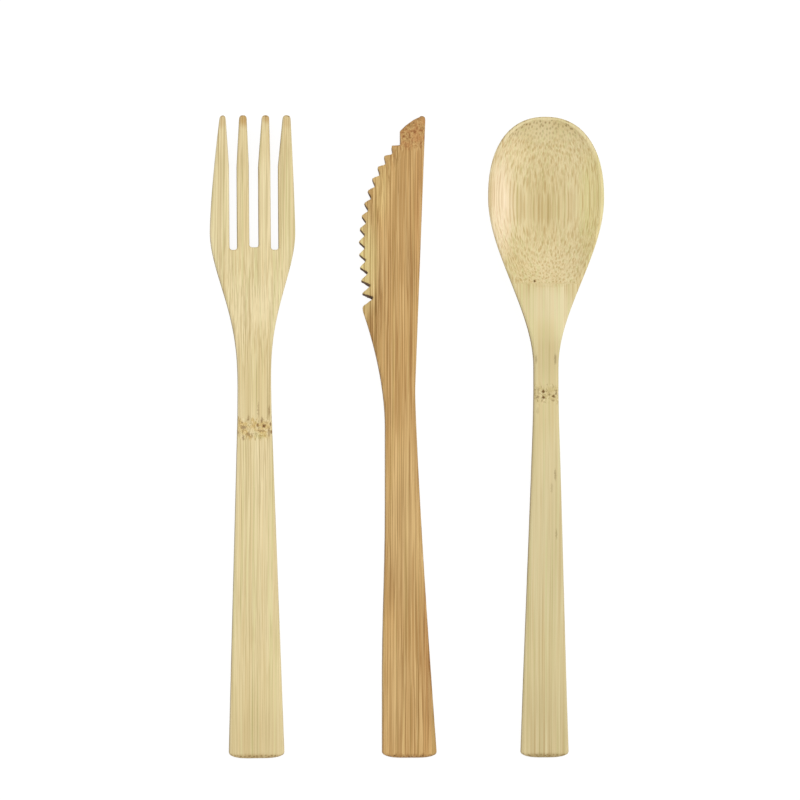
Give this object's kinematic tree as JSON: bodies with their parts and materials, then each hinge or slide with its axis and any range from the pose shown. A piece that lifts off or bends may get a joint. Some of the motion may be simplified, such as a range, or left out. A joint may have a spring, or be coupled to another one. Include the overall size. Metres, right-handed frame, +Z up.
{
  "type": "bamboo cutlery pack",
  "caption": "Bamboo fork, serrated knife and spoon laid side by side, each carved from one strip, with narrow necks and flared handles.",
  "frame": {"origin": "on the table under the middle of the pack's bounding box", "axes": "+Y along the handles towards the tines, the knife tip and the bowl, +X from the fork to the spoon, +Z up out of the table"},
  "size_m": [0.1228, 0.2002, 0.0096],
  "materials": {
    "pale_bamboo": "satin",
    "caramel_bamboo": "satin"
  },
  "bodies": {
    "root": {"fork": "pale_bamboo", "knife": "caramel_bamboo", "spoon": "pale_bamboo"}
  },
  "joints": []
}
